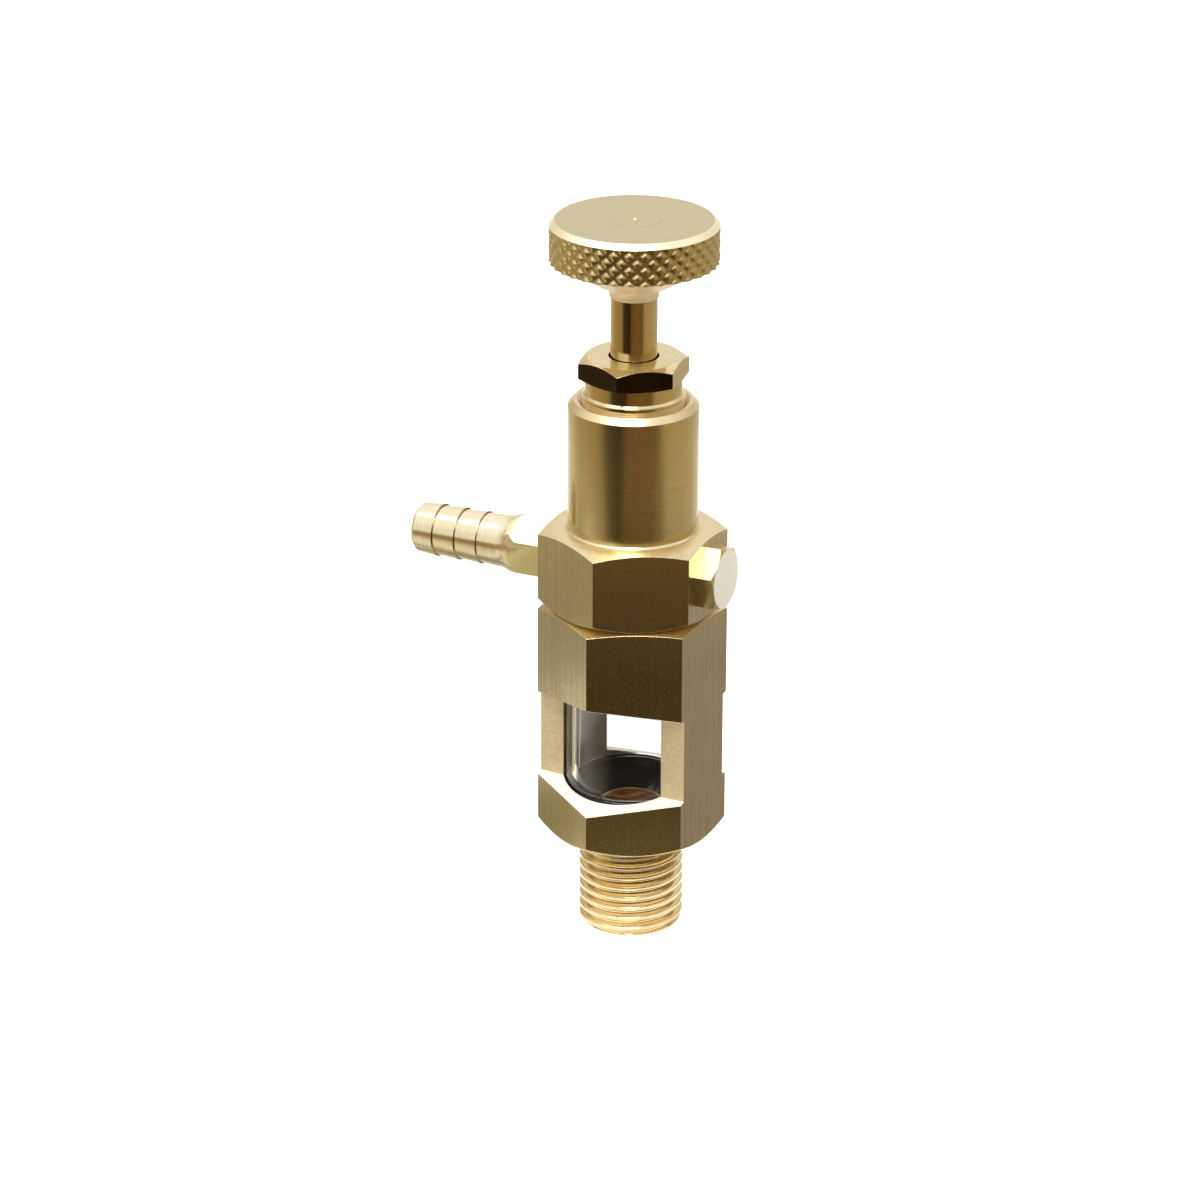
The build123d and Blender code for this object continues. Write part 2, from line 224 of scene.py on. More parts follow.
def soft_light(name, place, size, power):
    """Square area light that hangs at a place and faces the object's middle."""
    data = bpy.data.lights.new(name, "AREA")
    data.size = size
    data.energy = power
    lamp = bpy.data.objects.new(name, data)
    bpy.context.collection.objects.link(lamp)
    lamp.location = place
    lamp.rotation_euler = (look_point - Vector(place)).to_track_quat("-Z", "Y").to_euler()


soft_light("soft light above", (-0.12, -0.10, 0.60), size=0.40, power=0.75)
soft_light("soft light in front", (0.10, -0.36, 0.60), size=0.30, power=2.2)

# %% [markdown]
# ## What the polished brass looks at
# Bare metal shows its surroundings. In the photograph the faces turned to the camera mirror a
# dark studio, and the faces turned away mirror something pale. A round card does that here: it
# lies on the floor and stands up at its far rim. Only mirror rays and rays bent by the glass see
# it, so it takes no light away and stays out of the picture. Its shades change round the ring:
# darkest just left of the camera, grey at the sides, white behind. They also change outwards,
# because the low parts of the object mirror the near floor and the high parts mirror the far
# floor. Faces that look level or upwards mirror the wall, which has shades of its own.

# %% Round card for reflections
card_inside = 24.0 * mm
card_outside = 2.4
card_height = 0.2 * mm
card_top = 2.2
card_steps = 96
card_profile = [(card_inside, card_height), (card_outside, card_height), (card_outside, card_top)]
card_verts = []
card_faces = []
for step in range(card_steps):
    angle = 2 * math.pi * step / card_steps
    for radius, height in card_profile:
        card_verts.append((radius * math.cos(angle), radius * math.sin(angle), height))
    a = 3 * step
    b = 3 * ((step + 1) % card_steps)
    card_faces += [(a, a + 1, b + 1, b), (a + 1, a + 2, b + 2, b + 1)]

# %% Shades round the card
# Each line is an angle in degrees from the camera, to the right as the camera sees it, and a colour
near_shades = [
    (-180, (1.0, 1.0, 1.0)),
    (-160, (1.0, 1.0, 1.0)),
    (-140, (0.60, 0.57, 0.52)),
    (-119, (0.40, 0.375, 0.36)),
    (-109, (0.23, 0.215, 0.115)),
    (-84, (0.85, 0.78, 0.62)),
    (-58, (0.50, 0.42, 0.24)),
    (-32, (0.035, 0.024, 0.006)),
    (0, (0.032, 0.022, 0.004)),
    (10, (0.036, 0.025, 0.005)),
    (40, (0.06, 0.042, 0.016)),
    (70, (0.25, 0.21, 0.15)),
    (122, (0.34, 0.295, 0.27)),
    (132, (0.38, 0.355, 0.33)),
    (160, (1.0, 1.0, 1.0)),
    (180, (1.0, 1.0, 1.0)),
]
far_shades = [
    (-180, (1.0, 1.0, 1.0)),
    (-158, (0.95, 0.93, 0.87)),
    (-135, (0.68, 0.63, 0.50)),
    (-105, (0.50, 0.44, 0.29)),
    (-76, (0.42, 0.335, 0.19)),
    (-58, (0.32, 0.25, 0.12)),
    (-40, (0.12, 0.10, 0.045)),
    (-25, (0.095, 0.078, 0.032)),
    (-12, (0.19, 0.135, 0.055)),
    (10, (0.20, 0.135, 0.055)),
    (30, (0.21, 0.145, 0.06)),
    (46, (0.26, 0.205, 0.10)),
    (62, (0.46, 0.40, 0.22)),
    (90, (0.47, 0.41, 0.25)),
    (115, (0.52, 0.46, 0.32)),
    (140, (0.68, 0.63, 0.50)),
    (160, (0.95, 0.93, 0.87)),
    (180, (1.0, 1.0, 1.0)),
]
stem_shades = [
    (-180, (0.90, 0.88, 0.82)),
    (-140, (0.60, 0.52, 0.36)),
    (-105, (0.40, 0.29, 0.12)),
    (-66, (0.33, 0.23, 0.09)),
    (-48, (0.05, 0.035, 0.015)),
    (-22, (0.035, 0.022, 0.010)),
    (-8, (0.17, 0.085, 0.03)),
    (22, (0.20, 0.10, 0.035)),
    (38, (0.14, 0.10, 0.045)),
    (55, (0.40, 0.30, 0.13)),
    (90, (0.46, 0.35, 0.16)),
    (145, (0.50, 0.44, 0.33)),
    (180, (0.90, 0.88, 0.82)),
]
wall_shades = [
    (-180, (0.92, 0.89, 0.81)),
    (-140, (0.60, 0.52, 0.36)),
    (-95, (0.42, 0.34, 0.20)),
    (-70, (0.85, 0.80, 0.68)),
    (-35, (1.05, 1.0, 0.92)),
    (-14, (0.22, 0.15, 0.07)),
    (22, (0.20, 0.13, 0.05)),
    (60, (0.42, 0.32, 0.15)),
    (120, (0.50, 0.42, 0.26)),
    (160, (0.90, 0.88, 0.80)),
    (180, (0.92, 0.89, 0.81)),
]
inner_shades = [
    (-180, (1.0, 1.0, 1.0)),
    (-160, (1.0, 1.0, 1.0)),
    (-140, (0.52, 0.48, 0.40)),
    (-109, (0.26, 0.23, 0.13)),
    (-84, (0.85, 0.78, 0.62)),
    (-58, (0.50, 0.42, 0.24)),
    (-32, (0.10, 0.075, 0.025)),
    (0, (0.10, 0.075, 0.022)),
    (40, (0.12, 0.09, 0.04)),
    (70, (0.25, 0.21, 0.15)),
    (122, (0.34, 0.295, 0.27)),
    (160, (1.0, 1.0, 1.0)),
    (180, (1.0, 1.0, 1.0)),
]
white_behind = (1.25, 1.25, 1.25, 1)
pale_above = (1.1, 1.08, 1.02, 1)

# %% Paint the card and lay it down
card_paint = bpy.data.materials.new("reflection card shades")
tree = empty_tree(card_paint)
place = tree.nodes.new("ShaderNodeTexCoord").outputs["Object"]
spot = add_node(tree, "ShaderNodeSeparateXYZ", Vector=place).outputs
along = maths(tree, "MULTIPLY", spot["X"], sa)
along = maths(tree, "MULTIPLY_ADD", spot["Y"], -ca, along)
across = maths(tree, "MULTIPLY", spot["X"], ca)
across = maths(tree, "MULTIPLY_ADD", spot["Y"], sa, across)
share = maths(tree, "MULTIPLY_ADD", maths(tree, "ARCTAN2", across, along), 0.5 / math.pi, 0.5)
radius = distance_out(tree, along, across)


def shade_ramp(tree, share, shades):
    """Colour ramp over a full turn."""
    ramp = tree.nodes.new("ShaderNodeValToRGB")
    tree.links.new(share, ramp.inputs["Fac"])
    ramp.color_ramp.interpolation = "EASE"
    stops = ramp.color_ramp.elements
    stops.remove(stops[1])
    for number, (degrees, shade) in enumerate(shades):
        position = (degrees + 180) / 360
        stop = stops[0] if number == 0 else stops.new(position)
        stop.position = position
        stop.color = (*shade, 1)
    return ramp.outputs["Color"]


def blend(tree, share, first, second):
    """Mix of two colours."""
    node = add_node(tree, "ShaderNodeMix", {"data_type": "RGBA"})
    feed(tree, node.inputs[0], share)
    feed(tree, node.inputs[6], first)
    feed(tree, node.inputs[7], second)
    return node.outputs[2]


def mirror_only(sheet):
    """Let only mirror rays and rays that left the glass see this sheet."""
    sheet.visible_camera = False
    sheet.visible_diffuse = False
    sheet.visible_volume_scatter = False
    sheet.visible_shadow = False


inwards = ranged(tree, radius, 76 * mm, 60 * mm)
outwards = ranged(tree, radius, 146 * mm, 158 * mm)
further = ranged(tree, radius, 194 * mm, 204 * mm)
behind = ranged(tree, off_middle(tree, share), 0.44, 0.46)
on_wall = ranged(tree, spot["Z"], 0.01, 0.10)
upwards = ranged(tree, spot["Z"], 0.8, 2.1)
shade = shade_ramp(tree, share, near_shades)
shade = blend(tree, inwards, shade, shade_ramp(tree, share, inner_shades))
shade = blend(tree, outwards, shade, shade_ramp(tree, share, far_shades))
shade = blend(tree, further, shade, shade_ramp(tree, share, stem_shades))
shade = blend(tree, behind, shade, white_behind)
shade = blend(tree, on_wall, shade, shade_ramp(tree, share, wall_shades))
shade = blend(tree, upwards, shade, pale_above)
shine = add_node(tree, "ShaderNodeEmission", Color=shade, Strength=1.0)
end_tree(tree, shine.outputs[0])
mirror_only(studio_sheet("reflection card", card_verts, card_faces, card_paint))
print("card shades:", len(near_shades), len(far_shades), len(stem_shades))

# %% [markdown]
# The glass shows one upright highlight. It is the mirror image of a narrow bright strip, which
# lies on the floor to the left. A strip is used because a lamp there would light the brass too.

# %% Bright strip for the glass
strip_from_camera = -110
strip_angle = camera_azimuth + math.radians(strip_from_camera - 90)
strip_half = math.radians(1.3)
strip_near = 58 * mm
strip_far = 96 * mm
strip_height = 0.6 * mm
strip_glow = 2.2
strip_corners = []
for radius, side in ((strip_near, -1), (strip_far, -1), (strip_far, 1), (strip_near, 1)):
    angle = strip_angle + side * strip_half
    strip_corners.append((radius * math.cos(angle), radius * math.sin(angle), strip_height))
strip_paint = bpy.data.materials.new("bright strip")
tree = empty_tree(strip_paint)
shine = add_node(tree, "ShaderNodeEmission", Color=white, Strength=strip_glow)
end_tree(tree, shine.outputs[0])
mirror_only(studio_sheet("bright strip", strip_corners, one_sheet, strip_paint))

# %% [markdown]
# ## Shared marks of the tools
# Every brass face keeps the marks of the tool that made it. Three node groups draw them, and
# each material places them with its own sizes. Drawn bar has fine streaks along its length.
# A turned face has rings round its axis. A handled surface has cloudy stains and small specks.
# Each group puts out plain values, which then move the roughness, the colour and the bump.

# %% Groups for drawn streaks, turned rings and stains
def noise(tree, vector, scale, detail=2.0, roughness=0.5):
    """Noise value on a vector."""
    sizes = {"Scale": scale, "Detail": detail, "Roughness": roughness}
    return add_node(tree, "ShaderNodeTexNoise", Vector=vector, **sizes).outputs["Fac"]


def marks_group(name, sizes, results):
    """Shader group that reads a vector and named sizes, and its inputs as seen from inside."""
    group = bpy.data.node_groups.new(name, "ShaderNodeTree")
    new_socket(group, "Vector", "NodeSocketVector")
    for key, value in sizes.items():
        new_socket(group, key, "NodeSocketFloat", value)
    for key in results:
        new_socket(group, key, "NodeSocketFloat", output=True)
    return group, group.nodes.new("NodeGroupInput").outputs


def end_group(tree, **results):
    """Output node with each result on the socket of its name."""
    outside = tree.nodes.new("NodeGroupOutput")
    for key, value in results.items():
        tree.links.new(value, outside.inputs[key])


streak_group, given = marks_group("drawn streaks", {"Across": 4000.0, "Along": 120.0}, ["Value"])
tree = streak_group
scales = add_node(tree, "ShaderNodeCombineXYZ", X=given["Across"], Y=given["Across"], Z=given["Along"])
stretched = add_node(tree, "ShaderNodeVectorMath", {"operation": "MULTIPLY"})
tree.links.new(given["Vector"], stretched.inputs[0])
tree.links.new(scales.outputs[0], stretched.inputs[1])
end_group(tree, Value=noise(tree, stretched.outputs[0], 1.0, detail=4.0, roughness=0.65))

cone_slope = 1.31
ring_group, given = marks_group("turned rings", {"Fine": 9000.0, "Round": 1.5}, ["Value"])
tree = ring_group
parts = add_node(tree, "ShaderNodeSeparateXYZ", Vector=given["Vector"]).outputs
radius = distance_out(tree, parts["X"], parts["Y"])
safe = maths(tree, "MAXIMUM", radius, 1e-5)
round_x = maths(tree, "MULTIPLY", maths(tree, "DIVIDE", parts["X"], safe), given["Round"])
round_y = maths(tree, "MULTIPLY", maths(tree, "DIVIDE", parts["Y"], safe), given["Round"])
depth = maths(tree, "MULTIPLY_ADD", radius, cone_slope, parts["Z"])
depth = maths(tree, "MULTIPLY", depth, given["Fine"])
folded = add_node(tree, "ShaderNodeCombineXYZ", X=round_x, Y=round_y, Z=depth)
end_group(tree, Value=noise(tree, folded.outputs[0], 1.0, detail=3.0, roughness=0.6))

speck_low = 0.66
speck_high = 0.76
sizes = {"Cloud": 220.0, "Speck": 2600.0}
stain_group, given = marks_group("stains and specks", sizes, ["Clouds", "Specks"])
tree = stain_group
clouds = noise(tree, given["Vector"], given["Cloud"], detail=3.0)
grains = noise(tree, given["Vector"], given["Speck"], detail=1.0)
end_group(tree, Clouds=clouds, Specks=ranged(tree, grains, speck_low, speck_high))

# %% [markdown]
# ## Brass
# All pieces are of one brass. What differs is the surface: how rough it is, which marks lie on
# it, and how much tarnish or fresh metal tints it. One function makes a brass material from
# those choices, so the finishes can be compared by their numbers. A milled or bored face is so
# rough that it looks less metallic, and metal= says by how much.

# %% Brass finishes
port_height = 52.0
brass_tones = ((0.84, 0.73, 0.48), (0.72, 0.57, 0.30))
mark_share = 1.4
mark_offset = -0.5
cloud_share = 0.5
speck_share = 0.25
speck_roughness = 0.1


def new_material(name):
    """Material with its tree, its shader and the place on the object, which patterns read."""
    material = bpy.data.materials.new(name)
    material.use_nodes = True
    tree = material.node_tree
    place = tree.nodes.new("ShaderNodeTexCoord").outputs["Object"]
    return material, tree, tree.nodes["Principled BSDF"], place


def brass(name, roughness, marks, fine, slow, bump, spread=0.06, axis="Z", tones=brass_tones, metal=1.0):
    """Brass with the marks of one tool. fine and slow are the marks' scales, bump their depth."""
    material, tree, shader, place = new_material(name)
    shader.inputs["Metallic"].default_value = metal
    if axis == "X":
        shift = (-port_height * mm, 0, 0)
        turn = (0, math.radians(90), 0)
        place = add_node(tree, "ShaderNodeMapping", Vector=place, Location=shift, Rotation=turn).outputs[0]
    if marks == "drawn":
        kind, sizes = streak_group, {"Across": fine, "Along": slow}
    else:
        kind, sizes = ring_group, {"Fine": fine, "Round": slow}
    group = add_node(tree, "ShaderNodeGroup", {"node_tree": kind}, Vector=place, **sizes)
    stains = add_node(tree, "ShaderNodeGroup", {"node_tree": stain_group}, Vector=place)
    light, deep = tones
    mixed = maths(tree, "MULTIPLY_ADD", group.outputs["Value"], mark_share, mark_offset)
    mixed = maths(tree, "MULTIPLY_ADD", stains.outputs["Clouds"], cloud_share, mixed)
    mixed = maths(tree, "MULTIPLY_ADD", stains.outputs["Specks"], speck_share, mixed)
    shade = blend(tree, mixed, (*light, 1), (*deep, 1))
    tree.links.new(shade, shader.inputs["Base Color"])
    rough = maths(tree, "MULTIPLY_ADD", group.outputs["Value"], 2 * spread, roughness - spread)
    rough = maths(tree, "MULTIPLY_ADD", stains.outputs["Specks"], speck_roughness, rough)
    tree.links.new(rough, shader.inputs["Roughness"])
    relief = add_node(tree, "ShaderNodeBump", Strength=1.0, Distance=bump, Height=group.outputs["Value"])
    tree.links.new(relief.outputs[0], shader.inputs["Normal"])
    return material


# %% Every brass finish of this object
cream = ((0.97, 0.90, 0.70), (0.86, 0.74, 0.47))
bar_tones = ((0.86, 0.76, 0.50), (0.58, 0.44, 0.20))
drawn_brass = brass("drawn hex flats", 0.26, "drawn", 1900.0, 45.0, 3e-6, spread=0.08, tones=bar_tones)
hub_tones = ((0.90, 0.74, 0.46), (0.78, 0.60, 0.34))
hub_brass = brass("turned hub", 0.42, "turned", 7000.0, 2.0, 1.5e-6, tones=hub_tones, metal=0.5)
turned_brass = brass("turned satin", 0.17, "turned", 7000.0, 2.0, 1.2e-6)
chamfer_brass = brass("turned chamfers", 0.34, "turned", 7000.0, 2.0, 1.5e-6, tones=cream, metal=0.75)
rim_tones = ((0.86, 0.74, 0.50), (0.72, 0.58, 0.33))
rim_brass = brass("turned rims of the bodies", 0.32, "turned", 7000.0, 2.0, 1.5e-6, tones=rim_tones)
polished_brass = brass("polished nut", 0.10, "turned", 9000.0, 1.2, 0.4e-6, spread=0.03)
# Nearly black brass for two nut flats: a painted dark reflection
nut_painted_reflection_tones = ((0.07, 0.055, 0.035), (0.04, 0.03, 0.018))
nut_painted_reflection_brass = brass("nut flats with painted dark reflection", 0.14, "drawn", 2500.0, 300.0, 1e-6, tones=nut_painted_reflection_tones)
stem_brass = brass("polished stem", 0.10, "turned", 9000.0, 1.2, 0.5e-6, spread=0.03)
face_tones = ((0.66, 0.58, 0.38), (0.56, 0.48, 0.29))
knob_face_brass = brass("fine turned knob face", 0.40, "turned", 12000.0, 1.0, 1.2e-6, tones=face_tones)
knurl_tones = ((0.80, 0.68, 0.40), (0.62, 0.48, 0.22))
knurl_brass = brass("knurled rim", 0.28, "turned", 6000.0, 30.0, 1.5e-6, tones=knurl_tones)
milled_tones = ((0.72, 0.61, 0.38), (0.50, 0.38, 0.18))
milled_brass = brass("milled lands", 0.50, "drawn", 1300.0, 2200.0, 14e-6, tones=milled_tones, metal=0.4)
# Near-white colour for the front ledge and the fittings' end faces: painted light on milled grain
painted_light_tones = ((1.0, 0.98, 0.90), (1.0, 0.90, 0.70))
front_ledge_painted_light_brass = brass("milled front ledge with painted light", 0.55, "drawn", 4200.0, 4200.0, 8e-6, tones=painted_light_tones, metal=0.0)
thread_tones = ((0.88, 0.75, 0.48), (0.62, 0.42, 0.17))
thread_brass = brass("cut thread", 0.20, "turned", 5000.0, 1.5, 2e-6, tones=thread_tones)
bore_tones = ((0.86, 0.75, 0.67), (0.70, 0.59, 0.50))
bore_brass = brass("bored inside", 0.36, "turned", 5000.0, 1.5, 3e-6, tones=bore_tones, metal=0.6)
outlet_tones = ((0.90, 0.42, 0.13), (0.50, 0.20, 0.05))
outlet_brass = brass("outlet bore", 0.34, "turned", 4200.0, 1.2, 6e-6, tones=outlet_tones, metal=0.4)
fitting_brass = brass("bright turned fittings", 0.20, "turned", 5000.0, 1.5, 1e-6, axis="X", tones=cream)
hex_tones = ((0.92, 0.86, 0.57), (0.80, 0.70, 0.40))
fitting_flat_brass = brass("fitting hex flats", 0.24, "turned", 5000.0, 3.0, 2e-6, axis="X", tones=hex_tones)
# Dark brown brass for the steps behind the barbs: painted shade
barb_step_shade_tones = ((0.42, 0.27, 0.12), (0.26, 0.15, 0.06))
barb_step_shade_brass = brass("steps of the barbs with painted shade", 0.30, "turned", 5000.0, 1.5, 1e-6, axis="X", tones=barb_step_shade_tones)
# The end faces take the same near-white tones: painted light
end_face = {"axis": "X", "tones": painted_light_tones, "metal": 0.4}
fitting_face_brass = brass("fitting end faces", 0.42, "turned", 3000.0, 9.0, 4e-6, **end_face)

# %% [markdown]
# ## Rubber and glass
# The gasket under the glass is moulded rubber, nearly black with a cold sheen. The tube is clear
# glass, so it gets a plain transmission and next to no roughness.

# %% Rubber, glass and spring steel
cloud_lift = 1.5
cloud_spread = 0.08


def plain_surface(name, colour, roughness, speck_scale, bump, metallic=0.0):
    """Moulded or drawn surface with a fine grain and slight cloudiness."""
    material, tree, shader, place = new_material(name)
    shader.inputs["Metallic"].default_value = metallic
    kind = {"node_tree": stain_group}
    stains = add_node(tree, "ShaderNodeGroup", kind, Vector=place, Speck=speck_scale)
    lighter = [cloud_lift * part for part in colour]
    shade = blend(tree, stains.outputs["Clouds"], (*colour, 1), (*lighter, 1))
    tree.links.new(shade, shader.inputs["Base Color"])
    rough = maths(tree, "MULTIPLY_ADD", stains.outputs["Clouds"], 2 * cloud_spread, roughness - cloud_spread)
    tree.links.new(rough, shader.inputs["Roughness"])
    grain = noise(tree, place, speck_scale, detail=2.0)
    relief = add_node(tree, "ShaderNodeBump", Strength=1.0, Distance=bump, Height=grain)
    tree.links.new(relief.outputs[0], shader.inputs["Normal"])
    return material


rubber = plain_surface("moulded rubber", (0.008, 0.010, 0.022), 0.42, 6000.0, 2e-6)
rubber.node_tree.nodes["Principled BSDF"].inputs["Specular IOR Level"].default_value = 0.25
packing = plain_surface("graphited packing", (0.03, 0.03, 0.03), 0.6, 4000.0, 8e-6)
steel = plain_surface("drawn spring wire", (0.52, 0.52, 0.53), 0.3, 7000.0, 1e-6, metallic=1.0)

clear_glass, tree, shader, place = new_material("clear glass")
shader.inputs["Base Color"].default_value = (0.97, 0.985, 0.98, 1)
shader.inputs["Transmission Weight"].default_value = 1.0
shader.inputs["IOR"].default_value = 1.49
shader.inputs["Specular IOR Level"].default_value = 0.4
smear_scale = 160.0
smear_roughness = 0.02
rough = maths(tree, "MULTIPLY", noise(tree, place, smear_scale, detail=3.0), smear_roughness)
tree.links.new(rough, shader.inputs["Roughness"])

# %% [markdown]
# ## Making turned pieces
# Most pieces are round about an axis, so one helper turns an outline of (radius, height) corners
# into a closed mesh. A second helper eases the corners first, because no real edge is perfectly
# sharp and the small radius is what catches the light.

# %% Helpers for turned pieces
turned_steps = 128
nearly_straight = math.radians(6)
curve_limit = 0.4
hold_reach = 0.4
hold_limit = 0.08


def eased(corners, ease, closed=True):
    """The outline with each corner swapped for a small curve of six points.

    The first and the last of them lie on the straight sides. They hold the shading of the
    sides flat, which matters most for the glass.
    """
    count = len(corners)
    result = []
    for place, corner in enumerate(corners):
        at_end = not closed and place in (0, count - 1)
        before = Vector(corners[place - 1])
        here = Vector(corner)
        after = Vector(corners[(place + 1) % count])
        first = before - here
        second = after - here
        if at_end or first.length < 1e-9 or second.length < 1e-9 or here.x < 1e-6:
            result.append(corner)
            continue
        if abs(first.angle(second) - math.pi) < nearly_straight:
            result.append(corner)
            continue
        reach = min(ease, curve_limit * first.length, curve_limit * second.length)
        start = here + first.normalized() * reach
        end = here + second.normalized() * reach
        hold_start = start + first.normalized() * min(hold_reach * ease, hold_limit * first.length)
        hold_end = end + second.normalized() * min(hold_reach * ease, hold_limit * second.length)
        result.append((hold_start.x, hold_start.y))
        for share in (0.0, 0.33, 0.67, 1.0):
            point = start * (1 - share) ** 2 + here * 2 * share * (1 - share) + end * share**2
            result.append((point.x, point.y))
        result.append((hold_end.x, hold_end.y))
    return result


def turned_mesh(corners, steps=turned_steps, closed=True):
    """Mesh of an outline in millimetres, turned about Z. Points on the axis become one point."""
    shape = bmesh.new()
    rings = []
    for radius, height in corners:
        if radius < 1e-6:
            point = shape.verts.new((0, 0, height * mm))
            rings.append([point] * steps)
            continue
        ring = []
        for step in range(steps):
            angle = 2 * math.pi * step / steps
            x = radius * mm * math.cos(angle)
            y = radius * mm * math.sin(angle)
            ring.append(shape.verts.new((x, y, height * mm)))
        rings.append(ring)
    pairs = list(zip(rings, rings[1:]))
    if closed:
        pairs.append((rings[-1], rings[0]))
    for low, high in pairs:
        for step in range(steps):
            after = (step + 1) % steps
            loop = [low[step], low[after], high[after], high[step]]
            loop = [v for n, v in enumerate(loop) if v not in loop[:n]]
            if len(loop) > 2:
                shape.faces.new(loop)
    bmesh.ops.recalc_face_normals(shape, faces=shape.faces)
    return shape


def finish_piece(name, shape, materials, node, body, smooth=30.0, pick=None):
    """Turn a bmesh into a piece that stands for a CAD node and rides on its body."""
    for face in shape.faces:
        face.smooth = True
        if pick:
            face.material_index = pick(face.calc_center_median() / mm, face.normal)
    for edge in shape.edges:
        if len(edge.link_faces) == 2 and edge.calc_face_angle(0) > math.radians(smooth):
            edge.smooth = False
    mesh = bpy.data.meshes.new(name)
    shape.to_mesh(mesh)
    shape.free()
    for material in materials:
        mesh.materials.append(material)
    piece = bpy.data.objects.new(name, mesh)
    bpy.context.collection.objects.link(piece)
    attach(piece, body)
    if node:
        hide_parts(node)
    print(name, "faces:", len(mesh.polygons))
    return piece


# %% [markdown]
# ## Dressing the hex pieces
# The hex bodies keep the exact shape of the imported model. A copy of the mesh is merged, its flat
# areas are joined into single faces, and a Bevel modifier eases the edges. The loose triangles of
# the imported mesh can't be bevelled, which is why the merging comes first.

# %% Helper that copies and eases a CAD node
def node_copy(node):
    """Merged copy of a CAD node's mesh with its flat areas joined."""
    shape = bmesh.new()
    shape.from_mesh(nodes[node].data)
    bmesh.ops.remove_doubles(shape, verts=shape.verts, dist=1e-6)
    flat_enough = math.radians(0.4)
    bmesh.ops.dissolve_limit(shape, angle_limit=flat_enough, verts=shape.verts, edges=shape.edges)
    bmesh.ops.recalc_face_normals(shape, faces=shape.faces)
    return shape


def ease_edges(piece, width):
    """Live Bevel modifier on the sharp edges, its width in millimetres."""
    bevel = piece.modifiers.new("eased edges", "BEVEL")
    bevel.width = width * mm
    bevel.segments = 2
    bevel.limit_method = "ANGLE"
    bevel.angle_limit = math.radians(28)
    bevel.harden_normals = True
    bevel.use_clamp_overlap = True


# %% [markdown]
# ## Outlet thread
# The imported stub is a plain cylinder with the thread's outer size. The real one has an M14 x 1.5
# thread, so the stub is made again. A thread is a rule: go round, and rise one pitch each turn.
# That suits Geometry Nodes. A flat grid is wrapped, one side of it round the stub, the other
# across one groove, and neighbouring turns then meet along their edges. The groove fades out
# under the hex, where the tool was drawn back, and a chamfer trims the lower end.

# %% Helpers for geometry trees
def ruled_tree(name, sizes, counts):
    """Geometry tree with named sizes and counts, and its inputs as seen from inside."""
    tree = bpy.data.node_groups.new(name, "GeometryNodeTree")
    new_socket(tree, "Geometry", "NodeSocketGeometry")
    for key in sizes:
        new_socket(tree, key, "NodeSocketFloat")
    for key in counts:
        new_socket(tree, key, "NodeSocketInt")
    new_socket(tree, "Material", "NodeSocketMaterial")
    new_socket(tree, "Geometry", "NodeSocketGeometry", output=True)
    return tree, tree.nodes.new("NodeGroupInput").outputs


def grid_shares(tree, columns, rows):
    """Unit grid with its two shares from 0 to 1, before it is bent into shape."""
    grid = add_node(tree, "GeometryNodeMeshGrid", Size_X=1.0, Size_Y=1.0)
    feed(tree, grid.inputs["Vertices X"], columns)
    feed(tree, grid.inputs["Vertices Y"], rows)
    position = tree.nodes.new("GeometryNodeInputPosition").outputs[0]
    spot = add_node(tree, "ShaderNodeSeparateXYZ", Vector=position)
    first = maths(tree, "ADD", spot.outputs["X"], 0.5)
    second = maths(tree, "ADD", spot.outputs["Y"], 0.5)
    return grid.outputs["Mesh"], first, second


def wrap_and_finish(tree, mesh, angle, radius, height, material):
    """Place the grid's points by angle, radius and height in mm, merge them and end the tree."""
    x = maths(tree, "MULTIPLY", maths(tree, "COSINE", angle), radius)
    y = maths(tree, "MULTIPLY", maths(tree, "SINE", angle), radius)
    spot = add_node(tree, "ShaderNodeCombineXYZ", X=x, Y=y, Z=height)
    small = add_node(tree, "ShaderNodeVectorMath", {"operation": "SCALE"}, Scale=mm)
    tree.links.new(spot.outputs[0], small.inputs[0])
    placed = add_node(tree, "GeometryNodeSetPosition", Geometry=mesh, Position=small.outputs[0])
    merged = add_node(tree, "GeometryNodeMergeByDistance", Geometry=placed.outputs[0], Distance=2e-6)
    real = add_node(tree, "GeometryNodeRealizeInstances", Geometry=merged.outputs[0])
    painted = add_node(tree, "GeometryNodeSetMaterial", Geometry=real.outputs[0], Material=material)
    outside = tree.nodes.new("NodeGroupOutput")
    tree.links.new(painted.outputs[0], outside.inputs[0])


# %% Geometry tree for a cut thread
points_across = 17
first_turn = 1.5
crest_flat = 0.2
groove_bottom = 0.95
smooth = {"interpolation_type": "SMOOTHSTEP"}
sizes = ["Outer Radius", "Depth", "Pitch", "Length", "Runout"]
thread_tree, given = ruled_tree("cut thread", sizes, ["Turns", "Steps"])
tree = thread_tree
rows = maths(tree, "MULTIPLY_ADD", given["Turns"], given["Steps"], 1.0)
mesh, across, along = grid_shares(tree, points_across, rows)
turns_done = maths(tree, "MULTIPLY", along, given["Turns"])
angle = maths(tree, "MULTIPLY", turns_done, 2 * math.pi)
rise = maths(tree, "ADD", maths(tree, "ADD", turns_done, across), -first_turn)
rise = maths(tree, "MULTIPLY", rise, given["Pitch"])
height = held(tree, rise, 0.0, given["Length"])
from_crest = maths(tree, "MULTIPLY", off_middle(tree, across), 2.0)
groove = ranged(tree, from_crest, crest_flat, groove_bottom, smooth)
fade = held(tree, maths(tree, "SUBTRACT", given["Runout"], height), 0.0, 1.0)
cut = maths(tree, "MULTIPLY", groove, given["Depth"])
cut = maths(tree, "MULTIPLY", cut, fade)
radius = maths(tree, "SUBTRACT", given["Outer Radius"], cut)
root_radius = maths(tree, "SUBTRACT", given["Outer Radius"], given["Depth"])
radius = maths(tree, "MINIMUM", radius, maths(tree, "ADD", root_radius, height))
wrap_and_finish(tree, mesh, angle, radius, height, given["Material"])


